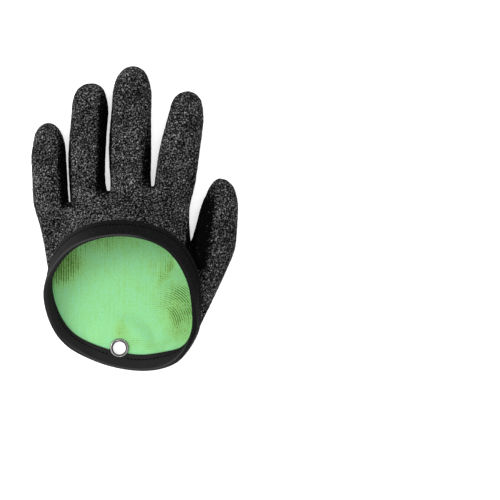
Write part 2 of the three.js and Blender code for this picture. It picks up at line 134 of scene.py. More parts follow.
# The mouth's edge: across and along as shares of half its width and length, height of the cuff's, facing in degrees.
mouthStations = [
    (-0.982, 0.165, 0.58, -13), (-0.895, 0.43, 0.69, 12), (-0.76, 0.64, 0.79, 34), (-0.56, 0.82, 0.885, 58),
    (-0.255, 0.94, 0.97, 82), (0.095, 0.975, 1, 88), (0.43, 0.91, 0.985, 84), (0.69, 0.765, 0.945, 71),
    (0.875, 0.53, 0.885, 55), (1.003, 0.225, 0.81, 36), (1.057, -0.145, 0.72, 19), (1.047, -0.465, 0.6, 8),
    (0.922, -0.742, 0.45, -8), (0.765, -0.905, 0.265, -48), (0.545, -0.985, 0.14, -80), (0.31, -1, 0.09, -90),
    (0.07, -0.97, 0.07, -90), (-0.175, -0.905, 0.1, -82), (-0.405, -0.81, 0.17, -68), (-0.625, -0.68, 0.24, -55),
    (-0.815, -0.47, 0.33, -42), (-0.94, -0.17, 0.46, -27),
]

# The CAD recentres the glove on its outline, and its eyelet shows by how much.
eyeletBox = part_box("eyelet")
shift = [(eyeletBox[0][i] + eyeletBox[1][i]) / 2 / mm - eyelet[way] for i, way in enumerate(("across", "along"))]
eyeletAt = ((eyelet["across"] + shift[0]) * mm, (eyelet["along"] + shift[1]) * mm)  # m, in the frame


def smoothStep(value, start, end):
    share = np.clip((value - start) / (end - start), 0, 1)
    return share * share * (3 - 2 * share)


def unit(vectors):
    return vectors / np.maximum(np.linalg.norm(vectors, axis=-1, keepdims=True), 1e-12)


def fromEyelet(points):
    return np.hypot(points[..., 0] - eyelet["across"], points[..., 1] - eyelet["along"])


def distances(steps):
    return np.concatenate([[0], np.cumsum(steps)])


# The cage that the CAD is drawn on. A place is a corner's (column, row) on the cloth.
cagePoints, cageQuads, cagePlaces = [], [], []
digitLines = {}  # where each digit starts, the way it runs and the way across it


def addPoint(point):
    cagePoints.append(np.array(point, float))
    return len(cagePoints) - 1


def addQuad(corners, places):
    cageQuads.append(corners)
    cagePlaces.append(places)


def cell(column, row):
    return [(column, row), (column, row + 1), (column + 1, row + 1), (column + 1, row)]


def digitRings(name, root, sideLow, sideHigh, firstRow):
    width, thickness, length, lean = digits[name][:4]
    lean = radians(lean)
    axis = np.array([sin(lean), cos(lean), 0])
    across = np.array([axis[1], -axis[0], 0])
    height = hand["rootCentreHeight"] * thickness
    digitLines[name] = (root, axis, across)
    angles = [radians(a) for a in (180, 120, 60, 0, -60, -120)]
    rings = [[addPoint((root[0] + width / 2 * cos(a),
                        sideLow + (sideHigh - sideLow) * (1 + cos(a)) / 2,
                        height + thickness / 2 * sin(a))) for a in angles]]
    for along, sideways, wide, thick in digitSections[name]:
        centre = root + axis * along * length + across * sideways * width
        ring = []
        for a in angles:
            point = centre + across * wide * width / 2 * cos(a)
            point[2] = height + thick * thickness / 2 * sin(a)
            ring.append(addPoint(point))
        rings.append(ring)
    tip = root + axis * length
    tip[2] = height
    top = addPoint(tip)
    for i in range(len(rings) - 1):
        for k in range(6):
            n = (k + 1) % 6
            addQuad([rings[i + 1][k], rings[i][k], rings[i][n], rings[i + 1][n]], cell(k, firstRow - i - 1))
    last = rings[-1]
    end = firstRow - len(rings)
    for k in (0, 2, 4):
        addQuad([last[k], last[k + 1], last[(k + 2) % 6], top],
                [(k, end + 1), (k + 1, end + 1), (k + 2, end + 1), (k + 1, end)])
    return rings[0]


def addWeb(left, right, row):
    wide = cloth["webPlace"]
    for i in (0, 1):
        addQuad([left[i], right[i], right[i + 1], left[i + 1]], [(0, row), (wide, row), (wide, row + 1), (0, row + 1)])


def mouthFrames():
    edge = np.array([(mouth["across"] + across * mouth["width"] / 2, mouth["along"] + along * mouth["length"] / 2,
                      height * mouth["cuffHeight"]) for across, along, height, _ in mouthStations])
    ways = unit(np.roll(edge, -1, 0) - np.roll(edge, 1, 0))
    frames = []
    for point, way, station in zip(edge, ways, mouthStations):
        facing = radians(station[3])
        away = unit(np.array([-way[1], way[0], 0]))
        out = away * cos(facing) + np.cross(way, away) * sin(facing)
        frames.append((point, unit(np.cross(out, way))))
    return frames


def curvePoint(start, startWay, end, endWay, share):
    reach = hand["curveReach"] * np.linalg.norm(end - start)
    endReach = min(reach, cloth["bandReach"] * cloth["tapeWidth"])
    s2, s3 = share ** 2, share ** 3
    return (start * (2 * s3 - 3 * s2 + 1) + startWay * reach * (s3 - 2 * s2 + share)
            + end * (3 * s2 - 2 * s3) + endWay * endReach * (s3 - s2))


def buildCage():
    fingers = ["little", "ring", "middle", "index"]
    edge = hand["knuckleShift"] - sum(digits[n][0] + digits[n][4] for n in fingers) / 2
    low = hand["littleSideAlong"]
    roots = {}
    for name in fingers:
        width, gap, crotch = digits[name][0], digits[name][4], digits[name][5]
        roots[name] = digitRings(name, np.array([edge + width / 2, (low + crotch) / 2, 0]), low, crotch, 0)
        edge += width + gap
        low = crotch
    thumbRoot = np.array([*hand["thumbRoot"], 0.0])
    thumb = digitRings("thumb", thumbRoot, thumbRoot[1] + 1, thumbRoot[1] - 1, 2)
    cagePoints[thumb[0]][1] += hand["thumbCrotchLead"]
    for first, second in zip(fingers, fingers[1:]):
        a, b = roots[first], roots[second]
        addWeb([a[2], a[3], a[4]], [b[1], b[0], b[5]], -1)

    sideLean, thumbLean = radians(hand["sideLean"]), radians(hand["thumbBaseLean"])
    handDown = np.array([0, -1.0, 0])
    sideDown = np.array([sin(sideLean), -cos(sideLean), 0])
    thumbDown = np.array([-sin(thumbLean), -cos(thumbLean), 0])
    # where each column starts, how far down it the thumb's crotch lies, and whether the palm presses on the table
    columns = [(roots["little"][0], hand["sideShare"], False)]
    back = [roots[n][k] for n in fingers for k in (1, 2)]
    columns += [(top, share, False) for top, share in zip(back, hand["backShares"])]
    columns += [(thumb[k], None, False) for k in range(1, 6)]
    columns += [(top, hand["palmShare"], True) for top in [roots[n][k] for n in fingers for k in (5, 4)][::-1]]
    rows = []
    for j, ((fold, into), (start, share, pressed)) in enumerate(zip(mouthFrames(), columns)):
        bandEdge = fold + into * cloth["tapeWidth"]
        rim = fold + into * (cloth["gap"] + cloth["tape"])
        down = sideDown if j == 0 else thumbDown if share is None else handDown

        def at(part):
            point = curvePoint(cagePoints[start], down, bandEdge, -into, part)
            swell = sin(pi * part)
            if j == 0:
                point[0] += hand["sideWaist"] * swell
            if pressed:
                point[2] = min(point[2], point[2] + (-hand["contactDepth"] - point[2]) * swell)
            return addPoint(point)

        if share is None:
            column = [None, None, start, at(1 / 3), at(2 / 3)]
        else:
            rest = (1 - share) / 3
            column = [start, at(share / 2), at(share), at(share + rest), at(share + 2 * rest)]
        rows.append(column + [addPoint(bandEdge), addPoint(rim)])

    crotch = cagePoints[thumb[0]] - np.array([hand["thumbCrotchGap"], 0, 0])
    sideTop = cagePoints[roots["index"][3]]
    hollow = (sideTop + crotch) / 2 - np.array([hand["thumbCrotchGap"] / 2, 0, 0])
    side = [roots["index"][3], addPoint(hollow), addPoint(crotch)]
    upper = [(j, rows[j]) for j in range(9)] + [(9, side)] + [(j, rows[j]) for j in range(14, 22)]
    for ring, first, last in ((upper, 0, 2), (list(enumerate(rows)), 2, 6)):
        for r in range(first, last):
            for (j, a), (_, b) in zip(ring, ring[1:] + ring[:1]):
                addQuad([a[r], a[r + 1], b[r + 1], b[r]], cell(j, r))
    addWeb([rows[8][2], side[2], rows[14][2]], [thumb[1], thumb[0], thumb[5]], 1)


# Adds up the values that belong to each point, for the Catmull-Clark subdivision.
def spread(total, at, values):
    return np.stack([np.bincount(at, values[:, i], total) for i in range(values.shape[1])], 1)


def neighbourSums(points, pairs):
    total = len(points)
    return spread(total, pairs[:, 0], points[pairs[:, 1]]) + spread(total, pairs[:, 1], points[pairs[:, 0]])


def topology(quads, total):
    ends = np.stack([quads, np.roll(quads, -1, 1)], 2).reshape(-1, 2).astype(np.int64)
    keys = ends.min(1) * total + ends.max(1)
    unique, index, uses = np.unique(keys, return_inverse=True, return_counts=True)
    return np.stack([unique // total, unique % total], 1), index.reshape(-1, 4), uses


def borderSums(points, pairs, uses):
    pairs = pairs[uses == 1]
    return neighbourSums(points, pairs), np.bincount(pairs.ravel(), minlength=len(points)) > 0


def limitPoints(points, quads):
    total = len(points)
    pairs, _, uses = topology(quads, total)
    across = neighbourSums(points, pairs)
    diagonals = spread(total, quads.ravel(), points[np.roll(quads, -2, 1).ravel()])
    k = np.bincount(quads.ravel(), minlength=total)[:, None].astype(float)
    inner = (k * k * points + 4 * across + diagonals) / (k * (k + 5))
    sums, onBorder = borderSums(points, pairs, uses)
    return np.where(onBorder[:, None], (4 * points + sums) / 6, inner)


def halve(points, quads, places):
    total = len(points)
    pairs, index, uses = topology(quads, total)
    centres = points[quads].mean(1)
    k = np.bincount(quads.ravel(), minlength=total)[:, None].astype(float)
    across = neighbourSums(points, pairs)
    round = spread(total, quads.ravel(), np.repeat(centres, 4, 0))
    sums, onBorder = borderSums(points, pairs, uses)
    corners = np.where(onBorder[:, None], (6 * points + sums) / 8, (k - 2) / k * points + (across + round) / (k * k))
    ends = points[pairs].sum(1)
    besides = spread(len(pairs), index.ravel(), np.repeat(centres, 4, 0))
    edges = np.where((uses == 2)[:, None], (ends + besides) / 4, ends / 2)
    edgeAt = total + index
    centreAt = total + len(pairs) + np.arange(len(quads))
    newQuads, newPlaces = [], []
    middle = places.mean(1)
    for c in range(4):
        newQuads.append(np.stack([quads[:, c], edgeAt[:, c], centreAt, edgeAt[:, c - 1]], 1))
        newPlaces.append(np.stack([places[:, c], (places[:, c] + places[:, (c + 1) % 4]) / 2, middle,
                                   (places[:, c] + places[:, c - 1]) / 2], 1))
    return (np.concatenate([corners, edges, centres]), np.stack(newQuads, 1).reshape(-1, 4),
            np.stack(newPlaces, 1).reshape(-1, 4, 2))


def pointNormals(points, quads):
    faces = np.cross(points[quads[:, 2]] - points[quads[:, 0]], points[quads[:, 3]] - points[quads[:, 1]])
    return unit(spread(len(points), quads.ravel(), np.repeat(faces, 4, 0)))


# The smooth skin at one fineness, pressed on the table, level round the eyelet and raised over the tape.
def shapedSkin(points, quads, places):
    skin = limitPoints(points, quads)
    row = np.full(len(skin), -9.0)
    row[quads.ravel()] = places[..., 1].ravel()
    skin[:, 2] = np.maximum(skin[:, 2], 0)
    share = smoothStep(fromEyelet(skin), eyelet["seatRadius"], eyelet["seatFade"] * eyelet["seatRadius"])
    level = eyelet["seatHeight"] + (skin[:, 2] - eyelet["seatHeight"]) * share
    skin[:, 2] = np.where(skin[:, 2] < mouth["cuffHeight"] / 4, level, skin[:, 2])  # the palm, not the back
    rise = (cloth["gap"] + cloth["tape"]) * smoothStep(row, *cloth["tapeRise"])
    skin[:, 2] = np.maximum(skin[:, 2], rise)
    return skin, row


# The skins at each fineness, with the ways out of the first one spread evenly over the finer ones.
def skins():
    points = np.array(cagePoints)
    quads = np.array(cageQuads)
    places = np.array(cagePlaces, float)
    wanted = points.copy()
    for _ in range(cloth["fitSteps"]):
        points = points + wanted - limitPoints(points, quads)
    made, ways = {}, None
    for fineness in range(1, cloth["fineness"] + 1):
        if ways is not None:
            ways = halve(ways, quads, places)[0]
        points, quads, places = halve(points, quads, places)
        skin, row = shapedSkin(points, quads, places)
        if ways is None:
            ways = pointNormals(skin, quads)
        made[fineness] = {"points": skin, "quads": quads, "places": places, "row": row, "ways": unit(ways)}
    return made


buildCage()
levels = skins()
fine = levels[cloth["fineness"]]
hidden = levels[cloth["hiddenFineness"]]
print("skins made:", len(fine["quads"]), "and", len(hidden["quads"]), "faces")


# The mouth's edge in order, with the wall on its left.
def borderLoop(skin):
    quads = skin["quads"]
    pairs, index, uses = topology(quads, len(skin["points"]))
    ends = np.stack([quads, np.roll(quads, -1, 1)], 2)
    after = dict(map(tuple, ends[uses[index] == 1]))
    first = min(after)
    loop = [first]
    while after[loop[-1]] != first:
        loop.append(after[loop[-1]])
    return np.array(loop)


# Point numbers of the cloth from firstRow to the mouth's edge, a row for each station.
def lattice(skin, fineness, firstRow):
    scale = 2 ** fineness
    columns, rows = len(mouthStations) * scale, (cloth["rimRow"] - firstRow) * scale + 1
    grid = np.full((columns, rows), -1)
    inBand = skin["places"][..., 1].min(1) >= firstRow
    place = np.rint(skin["places"][inBand] * scale).astype(int)
    grid[place[..., 0] % columns, place[..., 1] - firstRow * scale] = skin["quads"][inBand]
    return grid


# Smooth noise of about -1 to 1, with features of that size in mm.
def noiseAt(points, size, seed=0):
    offset = Vector((seed * 17.3, seed * 5.1, seed * 9.7))
    return np.array([noise.noise(Vector(p) / size + offset) for p in points])


def addObject(name, data):
    made = bpy.data.objects.new(name, data)
    bpy.context.scene.collection.objects.link(made)
    return made


def addMesh(name, points, faces, uv=None):
    mesh = bpy.data.meshes.new(name)
    mesh.from_pydata(((np.asarray(points) + [*shift, 0]) * mm).tolist(), [], faces)
    mesh.polygons.foreach_set("use_smooth", [True] * len(mesh.polygons))
    if uv is not None:
        mesh.uv_layers.new(name="clothPlace").data.foreach_set("uv", np.asarray(uv, np.float32).ravel())
    mesh.update()
    return addObject(name, mesh)


# How strongly a material shows a feature at each point, 0 to 1.
def addShow(piece, **values):
    for key, value in values.items():
        piece.data.attributes.new(key, "FLOAT", "POINT").data.foreach_set("value", np.asarray(value, np.float32))


# Takes a round hole on the eyelet's axis out of a piece.
def cutRound(piece, inside, cut):
    clearance, low, high = cut
    bpy.ops.mesh.primitive_cylinder_add(
        vertices=eyelet["sides"], radius=(inside + clearance) * mm, depth=(high - low) * mm,
        location=(*eyeletAt, (low + high) / 2 * mm))
    cutter = bpy.context.object
    modifier = piece.modifiers.new("eyeletHole", "BOOLEAN")
    modifier.operation = "DIFFERENCE"
    modifier.object = cutter
    modifier.solver = "EXACT"
    graph = bpy.context.evaluated_depsgraph_get()
    result = bpy.data.meshes.new_from_object(piece.evaluated_get(graph))
    piece.modifiers.clear()
    piece.data = result
    bpy.data.objects.remove(cutter)


def linear(hexCode):
    values = [int(hexCode[i:i + 2], 16) / 255 for i in (1, 3, 5)]
    return (*[v / 12.92 if v <= 0.04045 else ((v + 0.055) / 1.055) ** 2.4 for v in values], 1)


# Settings that many nodes share.
smooth, colours = {"interpolation_type": "SMOOTHSTEP"}, {"data_type": "RGBA"}
multiply, multiplyAdd = {"operation": "MULTIPLY"}, {"operation": "MULTIPLY_ADD"}


# Sets or links a node's inputs, by name or in their order; a node among the values stands for its first output.
def setInputs(tree, node, inputs):
    for key, value in inputs.items() if isinstance(inputs, dict) else enumerate(inputs):
        if isinstance(value, bpy.types.Node):
            value = value.outputs[0]
        if isinstance(value, bpy.types.NodeSocket):
            tree.links.new(value, node.inputs[key])
        else:
            node.inputs[key].default_value = value


def addNode(tree, kind, settings={}, inputs=()):
    node = tree.nodes.new("ShaderNode" + kind)
    for key, value in settings.items():
        setattr(node, key, value)
    setInputs(tree, node, inputs)
    return node


# A new material with its shader's constants set, its tree and its shader.
def startMaterial(name, **constants):
    material = bpy.data.materials.new(name)
    material.use_nodes = True
    tree = material.node_tree
    shader = tree.nodes["Principled BSDF"]
    setInputs(tree, shader, {key.replace("_", " "): value for key, value in constants.items()})
    return material, tree, shader


def setStops(ramp, positions, hexCodes):
    elements = ramp.color_ramp.elements
    while len(elements) < len(positions):
        elements.new(0.5)
    for element, position, hexCode in zip(elements, positions, hexCodes):
        element.position = position
        element.color = linear(hexCode)


# Natural latex, dipped and crinkled while wet, matt and black. Its colour follows the crinkles' height: painted shade
# darkens the hollows, painted highlights pale the tops of a few grains, random patches vary its tone, and painted
# shade blackens the digits' sides.
latexLook = {
    "fold": "#030303",
    "film": "#242424",
    "grainTop": "#565656",
    "wornGrain": "#929292",
    "stops": (0.2, 0.4, 0.65, 0.95),
    "grain": 1.1,  # mm from grain to grain
    "wander": 1.1,  # mm that the grains are pulled out of round
    "wanderSize": 2.4,
    "wearPower": 1.7,  # few of the grains get a painted highlight
    "dome": (0.1, 0.7, 1, 0),  # from each grain's middle to its edge, over which the painted highlight dies away
    "pore": 1.05,  # mm across the pores between the grains
    "patch": 16,  # mm across lighter and darker patches
    "base": -0.75,
    "weights": (1.9, 0.42, 0.25, -0.5),  # of the pores, whose painted shade darkens the hollows, the grains' painted highlights, the patches and the painted shade on the digits' sides
    "roughness": (0, 1, 0.9, 0.62),  # between the grains and on them
    "relief": 0.22,  # mm
}


def crinkledLatex():
    look = latexLook
    material, tree, shader = startMaterial("crinkledLatex", IOR=1.52, Metallic=0, Specular_IOR_Level=0.012)
    place = addNode(tree, "TexCoord").outputs["Object"]
    pull = addNode(tree, "TexNoise", {}, {"Vector": place, "Scale": 1 / (look["wanderSize"] * mm)})
    aside = addNode(tree, "VectorMath", {"operation": "SUBTRACT"}, (pull.outputs["Color"], (0.5, 0.5, 0.5)))
    pulled = addNode(tree, "VectorMath", multiplyAdd, (aside, (look["wander"] * mm,) * 3, place))
    grains = addNode(tree, "TexVoronoi", {}, {"Vector": pulled, "Scale": 1 / (look["grain"] * mm)})
    pores, patch = [addNode(tree, "TexNoise", {}, {"Vector": place, "Scale": 1 / (look[size] * mm), "Detail": 2})
                    for size in ("pore", "patch")]
    chance = addNode(tree, "SeparateColor", {}, (grains.outputs["Color"],))
    wear = addNode(tree, "Math", {"operation": "POWER"}, (chance.outputs["Red"], look["wearPower"]))
    dome = addNode(tree, "MapRange", smooth, (grains, *look["dome"]))
    bright = addNode(tree, "Math", multiply, (wear, dome))
    # painted shade on the digits' sides, read from the point attribute
    pool = addNode(tree, "Attribute", {"attribute_name": "pooledShow"})
    # The tone sets the colour and, after the grains, the bump: painted shade in the hollows, painted highlights on the
    # grains.
    tones = [look["base"]]
    parts = (pores, bright, patch, pool.outputs["Fac"])
    for part, weight in zip(parts, look["weights"]):
        tone = addNode(tree, "Math", multiplyAdd, (part, weight, tones[-1]))
        tones.append(tone)
    ramp = addNode(tree, "ValToRGB", {}, (tones[-1],))
    setStops(ramp, look["stops"], [look[name] for name in ("fold", "film", "grainTop", "wornGrain")])
    matt = addNode(tree, "MapRange", {}, (dome, *look["roughness"]))
    bump = addNode(tree, "Bump", {}, {"Height": tones[2], "Distance": look["relief"] * mm, "Strength": 0.9})
    setInputs(tree, shader, {"Base Color": ramp, "Roughness": matt, "Normal": bump})
    return material


# Fine-gauge nylon, plain knitted: smooth and a little fuzzy, with olive gaps where the columns of stitches spread
# apart, and painted shade that turns it darker and more olive in given spots and along the creases.
knitLook = {
    "thread": "#7dc296",
    "soft": "#7fbc76",
    # the olive stops show the gaps between the stitches and also the painted shade
    "open": "#76a356",
    "deep": "#3d6522",
    "stops": (0.4, 0.66, 0.9, 1),
    "wale": 1.7,  # mm from column to column; the real 1.1 mm is finer than a pixel, so they are drawn wider
    "course": 1.5,  # mm from row to row
    "line": (-0.2, 1),  # how much of each turn of the wave is a gap
    "uneven": (0.35, 0.7, 0.4, 1),  # the streaks break up the ribs
    "patchy": (0.35, 0.65, 0.3, 1.4),  # and the mottle the rows
    "streak": (1.1, 16),  # mm across and along the uneven columns
    "fuzz": 0.85,
    "mottle": 13,
    "weights": (0.12, 0.14, 0.85),  # of the mottle, the streaks and the fuzz
    "relief": 0.2,
}


def greenKnit():
    look = knitLook
    material, tree, shader = startMaterial(
        "greenKnit", IOR=1.5, Metallic=0, Roughness=0.95, Specular_IOR_Level=0.2, Sheen_Weight=0.08,
        Sheen_Roughness=0.5)
    place = addNode(tree, "TexCoord").outputs["Object"]
    uv = addNode(tree, "UVMap", {"uv_map": "clothPlace"})
    split = addNode(tree, "SeparateXYZ", {}, (uv,))
    show = {key: addNode(tree, "Attribute", {"attribute_name": key}).outputs["Fac"]
            for key in ("ribShow", "rowShow", "shadeShow")}
    streakPlace = addNode(tree, "VectorMath", multiply, (uv, (*[1 / (size * mm) for size in look["streak"]], 1)))
    streaks = addNode(tree, "TexNoise", {"noise_dimensions": "2D"}, {"Vector": streakPlace, "Scale": 1, "Detail": 2})
    fuzz = addNode(tree, "TexNoise", {}, {
        "Vector": place, "Scale": 1 / (look["fuzz"] * mm), "Detail": 2, "Roughness": 0.7})
    mottle = addNode(tree, "TexNoise", {}, {"Vector": place, "Scale": 1 / (look["mottle"] * mm), "Detail": 2})
    parts = []
    for way, pitch, key, noisy, limits in (("X", "wale", "ribShow", streaks, "uneven"),
                                           ("Y", "course", "rowShow", mottle, "patchy")):
        turn = addNode(tree, "Math", multiplyAdd, (split.outputs[way], 2 * pi / (look[pitch] * mm), fuzz))
        wave = addNode(tree, "Math", {"operation": "SINE"}, (turn,))
        line = addNode(tree, "MapRange", smooth, (wave, *look["line"]))
        breaks = addNode(tree, "MapRange", {}, (noisy, *look[limits]))
        shown = addNode(tree, "Math", multiply, (line, show[key]))
        broken = addNode(tree, "Math", multiply, (shown, breaks))
        parts.append((broken, 1))
    # painted shade
    parts.append((show["shadeShow"], 1))
    parts += [(part, weight) for part, weight in zip((mottle, streaks, fuzz), look["weights"])]
    gaps = 0
    for part, weight in parts:
        gaps = addNode(tree, "Math", multiplyAdd, (part, weight, gaps))
    ramp = addNode(tree, "ValToRGB", {}, (gaps,))
    setStops(ramp, look["stops"], [look[name] for name in ("thread", "soft", "open", "deep")])
    bump = addNode(tree, "Bump", {"invert": True}, {"Height": gaps, "Distance": look["relief"] * mm, "Strength": 0.7})
    setInputs(tree, shader, {"Base Color": ramp, "Normal": bump})
    return material


# Polyester binding tape, woven and folded: dull black with pale specks of its weave, a painted highlight along the
# fold, painted light toward the heel and the little finger, and painted shade in the stitches' groove.
tapeLook = {
    "face": "#080809",
    # painted light toward the heel and the little finger
    "faded": "#1b1b1b",
    "speck": "#2c2c2c",
    # the painted highlight along the fold
    "fold": "#303030",
    # painted shade in the stitches' groove
    "seam": "#060606",
    "weave": (2.3, 1.7),  # mm from speck to speck along and across the tape, twice the real yarns'
    "crossing": (0.45, 1),
    "grain": 1.6,
    "patchy": (0.45, 0.65),
    "relief": 0.06,
}


def bindingTape():
    look = tapeLook
    material, tree, shader = startMaterial("bindingTape", IOR=1.5, Metallic=0, Roughness=0.95, Specular_IOR_Level=0.12)
    place = addNode(tree, "TexCoord").outputs["Object"]
    uv = addNode(tree, "UVMap", {"uv_map": "clothPlace"})
    split = addNode(tree, "SeparateXYZ", {}, (uv,))
    show = {key: addNode(tree, "Attribute", {"attribute_name": key}).outputs["Fac"]
            for key in ("wornShow", "fadedShow", "seamShow")}
    waves = []
    for way, pitch in zip("XY", look["weave"]):
        turn = addNode(tree, "Math", multiply, (split.outputs[way], 2 * pi / (pitch * mm)))
        waves.append(addNode(tree, "Math", {"operation": "SINE"}, (turn,)))
    weave = addNode(tree, "Math", multiply, waves)
    grain = addNode(tree, "TexNoise", {}, {"Vector": place, "Scale": 1 / (look["grain"] * mm), "Detail": 2})
    crossings = addNode(tree, "MapRange", smooth, (weave, *look["crossing"]))
    patchy = addNode(tree, "MapRange", {}, (grain, *look["patchy"]))
    specks = addNode(tree, "Math", multiply, (crossings, patchy))
    # In layers: painted light toward the heel, the weave's specks, the fold's painted highlight and painted shade in
    # the stitches' groove.
    colour = linear(look["face"])
    for share, layer in ((show["fadedShow"], "faded"), (specks, "speck"), (show["wornShow"], "fold"),
                         (show["seamShow"], "seam")):
        mixed = addNode(tree, "Mix", colours, {"Factor": share, 6: colour, 7: linear(look[layer])})
        colour = mixed.outputs[2]
    height = addNode(tree, "Math", {"operation": "ADD"}, (weave, grain))
    bump = addNode(tree, "Bump", {}, {"Height": height, "Distance": look["relief"] * mm, "Strength": 0.6})
    setInputs(tree, shader, {"Base Color": colour, "Normal": bump})
    return material


# Twisted polyester sewing thread: black, dull, darker than the tape that it sinks into.
threadLook = {"fibre": "#010101", "shine": "#040404", "twist": 0.4}


def sewingThread():
    look = threadLook
    material, tree, shader = startMaterial("sewingThread", IOR=1.5, Metallic=0, Roughness=0.9, Specular_IOR_Level=0.02)
    place = addNode(tree, "TexCoord").outputs["Object"]
    twist = addNode(tree, "TexNoise", {}, {"Vector": place, "Scale": 1 / (look["twist"] * mm), "Detail": 1})
    ramp = addNode(tree, "ValToRGB", {}, (twist,))
    setStops(ramp, (0.3, 0.7), (look["fibre"], look["shine"]))
    setInputs(tree, shader, {"Base Color": ramp})
    return material


# Nickel-plated brass, stamped and set with a punch: bright, with a slight haze; painted shade darkens it inside the
# hole.
nickelLook = {
    "plate": "#8e8d8c",
    # painted shade inside the hole
    "bore": "#2c2a29",
    "boreEdge": (0.73, 1.13),  # mm outside the hole where the painted shade ends
    "haze": 1.5,  # mm across
    "hazeShares": (0.7, 1.4),  # of the roughness
}


def nickelPlate(name, roughness):
    look = nickelLook
    material, tree, shader = startMaterial(name, Metallic=1)
    place = addNode(tree, "TexCoord").outputs["Object"]
    fromAxis = addNode(tree, "VectorMath", {"operation": "SUBTRACT"}, (place, (*eyeletAt, 0)))
    flat = addNode(tree, "VectorMath", multiply, (fromAxis, (1, 1, 0)))
    radius = addNode(tree, "VectorMath", {"operation": "LENGTH"}, (flat,))
    edges = [(eyelet["bore"] + edge) * mm for edge in look["boreEdge"]]
    # painted shade inside the hole
    inBore = addNode(tree, "MapRange", smooth, (radius.outputs["Value"], *edges, 1, 0))
    colour = addNode(tree, "Mix", colours, {"Factor": inBore, 6: linear(look["plate"]), 7: linear(look["bore"])})
    haze = addNode(tree, "TexNoise", {}, {"Vector": place, "Scale": 1 / (look["haze"] * mm), "Detail": 3})
    limits = [roughness * share for share in look["hazeShares"]]
    rough = addNode(tree, "MapRange", {}, (haze, 0.3, 0.7, *limits))
    setInputs(tree, shader, {"Base Color": colour.outputs[2], "Roughness": rough})
    return material


# A closed wall between two skins, each moved in by its own depths in mm, with its points and their UVs.
def wallPiece(name, outer, inner, outerDepth, innerDepth, placeOf=None):
    pointSets, faces, uv = [], [], []
    for skin, depth, turn in ((outer, outerDepth, 1), (inner, innerDepth, -1)):
        first = sum(len(p) for p in pointSets)
        pointSets.append(skin["points"] - skin["ways"] * np.asarray(depth).reshape(-1, 1))
        faces += (skin["quads"][:, ::turn] + first).tolist()
        uv.append(skin["places"][:, ::turn].reshape(-1, 2))
    loops = [borderLoop(outer), borderLoop(inner) + len(outer["points"])]
    swap = len(loops[0]) < len(loops[1])
    many, few = (loops[1], loops[0]) if swap else loops
    step = len(many) // len(few)
    allPoints = np.concatenate(pointSets)
    start = np.argmin(np.linalg.norm(allPoints[many] - allPoints[few[0]], axis=1))
    many = np.roll(many, -start)
    for i in range(len(few)):
        a, b = few[i], few[(i + 1) % len(few)]
        strip = [many[(i * step + s) % len(many)] for s in range(step + 1)]
        half = step // 2
        made = [[strip[s + 1], strip[s], a] for s in range(half)]
        made.append([strip[half], a, b])
        made += [[strip[s + 1], strip[s], b] for s in range(half, step)]
        faces += [[int(v) for v in (face[::-1] if swap else face)] for face in made]
        uv.append(np.tile([0.0, cloth["rimRow"]], (3 * len(made), 1)))
    if placeOf is None:
        uv = np.concatenate(uv) * np.array(cloth["placeScale"])
    else:
        uv = placeOf(allPoints)[np.concatenate([np.array(face) for face in faces])]
    return addMesh(name, allPoints, faces, uv * mm), allPoints


# Painted shade: the sides of the digits that lie away from the light or in the hand's shadow are drawn black: digit,
# side, from and to along it as shares of its length, from and to across it as shares of half its width, and strength.
pooledLatex = {
    "strips": [("little", 1, -0.08, 0.9, 0.34, 0.7, 0.8), ("ring", 1, -0.01, 0.97, 0.3, 0.64, 1.0),
               ("middle", 1, 0, 0.5, 0.42, 0.76, 0.85), ("thumb", -1, -0.25, 0.88, -0.04, 0.32, 1.0)],
    "roundEdge": (1.1, 1.25),
    "startFade": (-0.06, 0.1),
    "endFade": (-0.3, 0.05),
    "underFade": (-0.6, -0.1),  # by the upward part of the way out of the cloth
}


# How strongly each point gets the painted side shade, 0 to 1.
def pooled(points, ways):
    total = np.zeros(len(points))
    fromStart, toEnd = np.array(pooledLatex["startFade"]), np.array(pooledLatex["endFade"])
    for name, side, start, end, low, high, strength in pooledLatex["strips"]:
        root, axis, across = digitLines[name]
        along = (points - root) @ axis / digits[name][2]
        aside = (points - root) @ across / (digits[name][0] / 2) * side
        strip = smoothStep(aside, low, high) * (1 - smoothStep(aside, *pooledLatex["roundEdge"]))
        ends = smoothStep(along, *(start + fromStart)) * (1 - smoothStep(along, *(end + toEnd)))
        total = np.maximum(total, strength * strip * ends)
    return total * smoothStep(ways, *pooledLatex["underFade"])


# The crinkles' height and size in mm and their seed, and where they stop: rows at the tape, mm from the eyelet.
coatRelief = {"waves": [(0.18, 3, 1), (0.1, 1.7, 2)], "tapeClear": (4.95, 5.1), "eyeletClear": (8, 11)}

crinkle = sum(depth * noiseAt(fine["points"], size, seed) for depth, size, seed in coatRelief["waves"])
crinkle *= 1 - smoothStep(fine["row"], *coatRelief["tapeClear"])
crinkle *= smoothStep(fromEyelet(fine["points"]), *coatRelief["eyeletClear"])
coatSkin = dict(fine)
coatSkin["points"] = fine["points"] + fine["ways"] * crinkle[:, None]
coatSkin["points"][:, 2] = np.maximum(coatSkin["points"][:, 2], 0)
latexCoat, coatPoints = wallPiece("latexCoat", coatSkin, hidden, 0, cloth["coat"])
addShow(latexCoat, pooledShow=pooled(coatPoints, np.concatenate([fine["ways"], hidden["ways"]])[:, 2]))
cutRound(latexCoat, eyelet["bore"], eyelet["wallCut"])
latexCoat.data.materials.append(crinkledLatex())
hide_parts("latex_coat")
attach(latexCoat, "root")
print("latex coat:", len(latexCoat.data.polygons), "faces")

